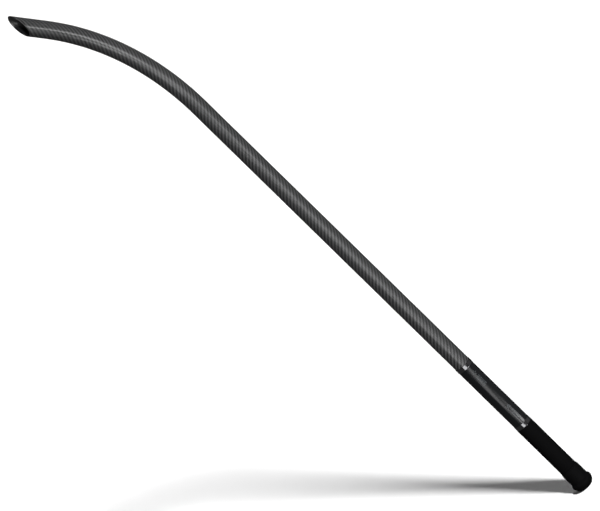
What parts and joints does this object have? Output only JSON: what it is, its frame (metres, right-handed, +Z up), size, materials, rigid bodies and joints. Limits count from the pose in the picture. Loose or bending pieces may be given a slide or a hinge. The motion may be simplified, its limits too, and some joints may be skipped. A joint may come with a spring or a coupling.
{
  "type": "throwing stick",
  "caption": "Long hollow carbon tube bent over near its slant-cut open tip, with a slim ringed handle, a rubber grip and a push-on rubber butt cap, for throwing bait balls by hand.",
  "frame": {"origin": "centre of the butt cap's flat end face", "axes": "+Z up the straight tube towards the tip, -X the side that the tip bends towards, Y across the bend's plane"},
  "size_m": [0.1098, 0.0286, 0.9423],
  "materials": {
    "carbon": "clear-coated twill carbon fibre",
    "trim": "polished black chrome",
    "lacquer": "gloss black lacquer",
    "grip": "matte shrunk rubber",
    "cap": "satin moulded rubber",
    "plug": "moulded plastic"
  },
  "bodies": {
    "stick": {"throwing_tube": "carbon", "front_trim_ring": "trim", "label_sleeve": "lacquer", "rear_trim_ring": "trim", "grip_sleeve": "grip"},
    "butt_end": {"butt_cap": "cap", "butt_plug": "plug"}
  },
  "joints": [
    {"name": "butt_cap_slide", "type": "slide", "parent": "stick", "child": "butt_end", "axis": [0, 0, -1], "range_m": [0, 0.04]}
  ]
}
